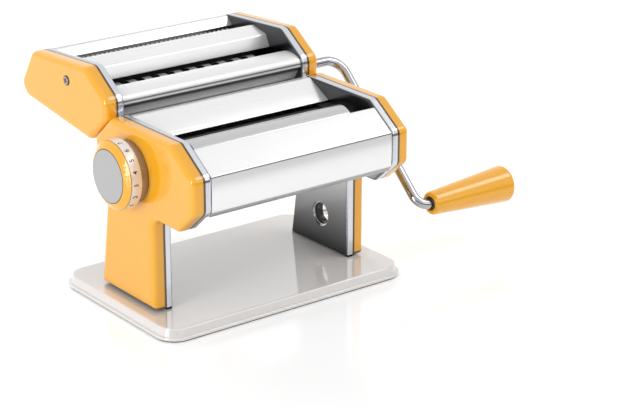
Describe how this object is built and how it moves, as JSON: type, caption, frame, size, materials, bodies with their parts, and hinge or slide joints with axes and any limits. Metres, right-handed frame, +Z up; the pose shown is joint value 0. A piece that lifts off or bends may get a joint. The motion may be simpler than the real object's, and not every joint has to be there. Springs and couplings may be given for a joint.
{
  "type": "pasta roller machine",
  "caption": "Hand-cranked pasta roller machine with smooth adjustable rollers, a numbered dial, a lift-off cutter head for wide and fine strips, side covers and a flat base.",
  "frame": {"origin": "middle of the underside of the base's non-slip pad", "axes": "+X along the rollers towards the crank, +Y towards the back where the cutter head sits, +Z up"},
  "size_m": [0.3252, 0.2218, 0.1662],
  "materials": {
    "orange_plastic": "glossy",
    "polished_steel": "polished",
    "base_enamel": "glossy",
    "rubber": "matte",
    "black_plastic": "matte",
    "roller_steel": "ground",
    "chrome_bar": "polished",
    "steel": "plain",
    "bronze": "plain",
    "collar_metal": "satin",
    "ring_white": "satin",
    "cap_grey": "matte"
  },
  "bodies": {
    "body": {"base_plate": "base_enamel", "non_slip_pad": "rubber", "base_screws": "steel", "left_frame": "polished_steel", "right_frame": "polished_steel", "left_cover": "orange_plastic", "right_cover": "orange_plastic", "cover_screws": "steel", "front_tie_rod": "steel", "rear_tie_rod": "steel", "frame_screws": "steel", "clamp_sleeve": "chrome_bar", "front_panel": "polished_steel", "hopper_panel": "polished_steel", "back_panel": "polished_steel", "left_side_guide": "black_plastic", "right_side_guide": "black_plastic", "front_scraper": "black_plastic", "rear_scraper": "black_plastic", "front_roller_bushes": "bronze", "regulator_bush": "bronze", "dial_collar": "collar_metal"},
    "front_roller": {"front_roller": "roller_steel", "front_roller_gear": "steel"},
    "roller_carriage": {"eccentric_sleeves": "bronze"},
    "rear_roller": {"rear_roller": "roller_steel", "rear_roller_gear": "steel"},
    "regulator": {"regulator_shaft": "steel", "dial_screw": "steel", "dial_spring": "steel"},
    "dial": {"dial_knob": "orange_plastic", "dial_number_ring": "ring_white", "dial_cap": "cap_grey", "index_pin": "steel"},
    "cutter_head": {"cutter_left_frame": "polished_steel", "cutter_right_frame": "polished_steel", "cutter_left_cover": "orange_plastic", "cutter_right_cover": "orange_plastic", "cutter_tie_rod": "steel", "cutter_cover_screws": "chrome_bar", "cutter_pegs": "steel", "cutter_front_panel": "polished_steel", "cutter_front_apron": "polished_steel", "cutter_middle_panel": "polished_steel", "cutter_back_panel": "polished_steel", "wide_combs": "black_plastic", "narrow_combs": "black_plastic", "cutter_bushes": "bronze"},
    "wide_front": {"wide_cutter_front": "roller_steel", "wide_gear_front": "steel"},
    "wide_rear": {"wide_cutter_rear": "roller_steel", "wide_gear_rear": "steel"},
    "narrow_front": {"narrow_cutter_front": "roller_steel", "narrow_gear_front": "steel"},
    "narrow_rear": {"narrow_cutter_rear": "roller_steel", "narrow_gear_rear": "steel"},
    "crank": {"crank_rod": "chrome_bar", "grip_ferrule": "black_plastic"},
    "grip": {"crank_grip": "orange_plastic"}
  },
  "joints": [
    {"name": "roller_spin", "type": "hinge", "parent": "body", "child": "front_roller", "pos_m": [0, -0.0398, 0.11575], "axis": [1, 0, 0], "continuous": true},
    {"name": "carriage_slide", "type": "slide", "parent": "body", "child": "roller_carriage", "axis": [0, 0.9659, -0.2588], "range_m": [-0.001, 0.001]},
    {"name": "rear_roller_spin", "type": "hinge", "parent": "roller_carriage", "child": "rear_roller", "pos_m": [0, -0.0102, 0.10782], "axis": [1, 0, 0], "continuous": true},
    {"name": "dial_turn", "type": "hinge", "parent": "body", "child": "regulator", "pos_m": [0, -0.0105, 0.1067], "axis": [1, 0, 0], "range_deg": [-60, 60]},
    {"name": "dial_pull", "type": "slide", "parent": "regulator", "child": "dial", "axis": [-1, 0, 0], "range_m": [0, 0.005], "stiffness_N_per_m": 500, "springref_m": -0.006, "deforming": ["dial_spring"]},
    {"name": "cutter_lift", "type": "slide", "parent": "body", "child": "cutter_head", "axis": [0, 0.6626, 0.749], "range_m": [0, 0.06]},
    {"name": "wide_spin", "type": "hinge", "parent": "cutter_head", "child": "wide_front", "pos_m": [0, 0.0433, 0.1344], "axis": [1, 0, 0], "continuous": true},
    {"name": "wide_rear_spin", "type": "hinge", "parent": "cutter_head", "child": "wide_rear", "pos_m": [0, 0.06076, 0.13562], "axis": [1, 0, 0], "continuous": true},
    {"name": "narrow_spin", "type": "hinge", "parent": "cutter_head", "child": "narrow_front", "pos_m": [0, 0.089, 0.1402], "axis": [1, 0, 0], "continuous": true},
    {"name": "narrow_rear_spin", "type": "hinge", "parent": "cutter_head", "child": "narrow_rear", "pos_m": [0, 0.10646, 0.14142], "axis": [1, 0, 0], "continuous": true},
    {"name": "crank_pull", "type": "slide", "parent": "wide_front", "child": "crank", "axis": [1, 0, 0], "range_m": [0, 0.03]},
    {"name": "grip_spin", "type": "hinge", "parent": "crank", "child": "grip", "pos_m": [0, -0.05442, 0.04359], "axis": [1, 0, 0], "continuous": true}
  ],
  "couplings": [
    {"joint": "rear_roller_spin", "follows": "roller_spin", "ratio": -1},
    {"joint": "dial_turn", "follows": "carriage_slide", "rad_per_m": -1047.2},
    {"joint": "wide_rear_spin", "follows": "wide_spin", "ratio": -1},
    {"joint": "narrow_rear_spin", "follows": "narrow_spin", "ratio": -1}
  ]
}
